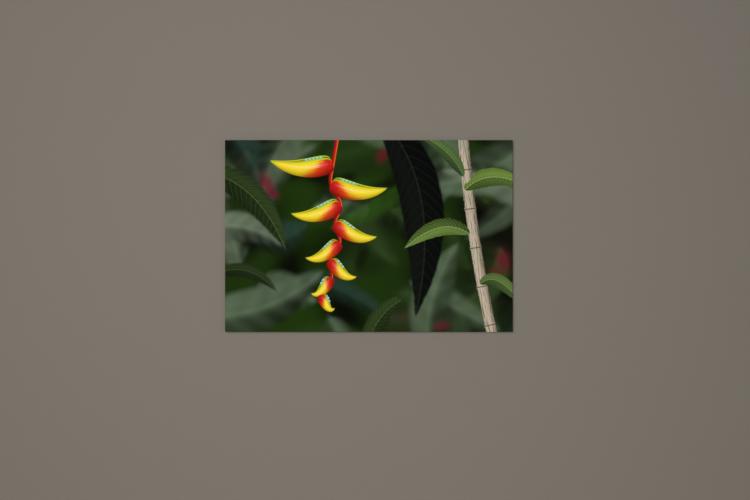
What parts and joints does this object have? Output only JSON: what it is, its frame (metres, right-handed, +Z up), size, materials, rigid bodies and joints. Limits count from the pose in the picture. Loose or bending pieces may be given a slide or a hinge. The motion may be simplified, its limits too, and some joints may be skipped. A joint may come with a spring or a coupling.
{
  "type": "stretched canvas wall picture",
  "caption": "Frameless landscape picture: printed canvas wrapped over a keyed pine stretcher with a centre brace, sawtooth hangers and wall bumpers.",
  "frame": {"origin": "middle of the picture, on the wall that it hangs on", "axes": "+X along the picture's width, to the right as seen from the front; +Y out of the picture's back, into the wall; +Z up"},
  "size_m": [1.5, 0.0231, 1],
  "materials": {
    "printed_canvas": "matt ink print on woven canvas, dark leafy greens with warm accents, bare off-white cloth behind",
    "stretcher_pine": "planed bare pine",
    "key_wood": "bare light hardwood, sawn",
    "zinc_steel": "zinc-plated pressed steel",
    "pad_rubber": "matt black rubber"
  },
  "bodies": {
    "root": {"bar_bottom": "stretcher_pine", "bar_left": "stretcher_pine", "bar_right": "stretcher_pine", "bar_top": "stretcher_pine", "brace": "stretcher_pine", "canvas": "printed_canvas", "hanger_left": "zinc_steel", "hanger_left_nail_left": "zinc_steel", "hanger_left_nail_right": "zinc_steel", "hanger_right": "zinc_steel", "hanger_right_nail_left": "zinc_steel", "hanger_right_nail_right": "zinc_steel", "key_bottom_left_a": "key_wood", "key_bottom_left_b": "key_wood", "key_bottom_right_a": "key_wood", "key_bottom_right_b": "key_wood", "key_top_left_a": "key_wood", "key_top_left_b": "key_wood", "key_top_right_a": "key_wood", "key_top_right_b": "key_wood", "pad_bottom_left": "pad_rubber", "pad_bottom_right": "pad_rubber", "pad_top_left": "pad_rubber", "pad_top_right": "pad_rubber"}
  },
  "joints": []
}
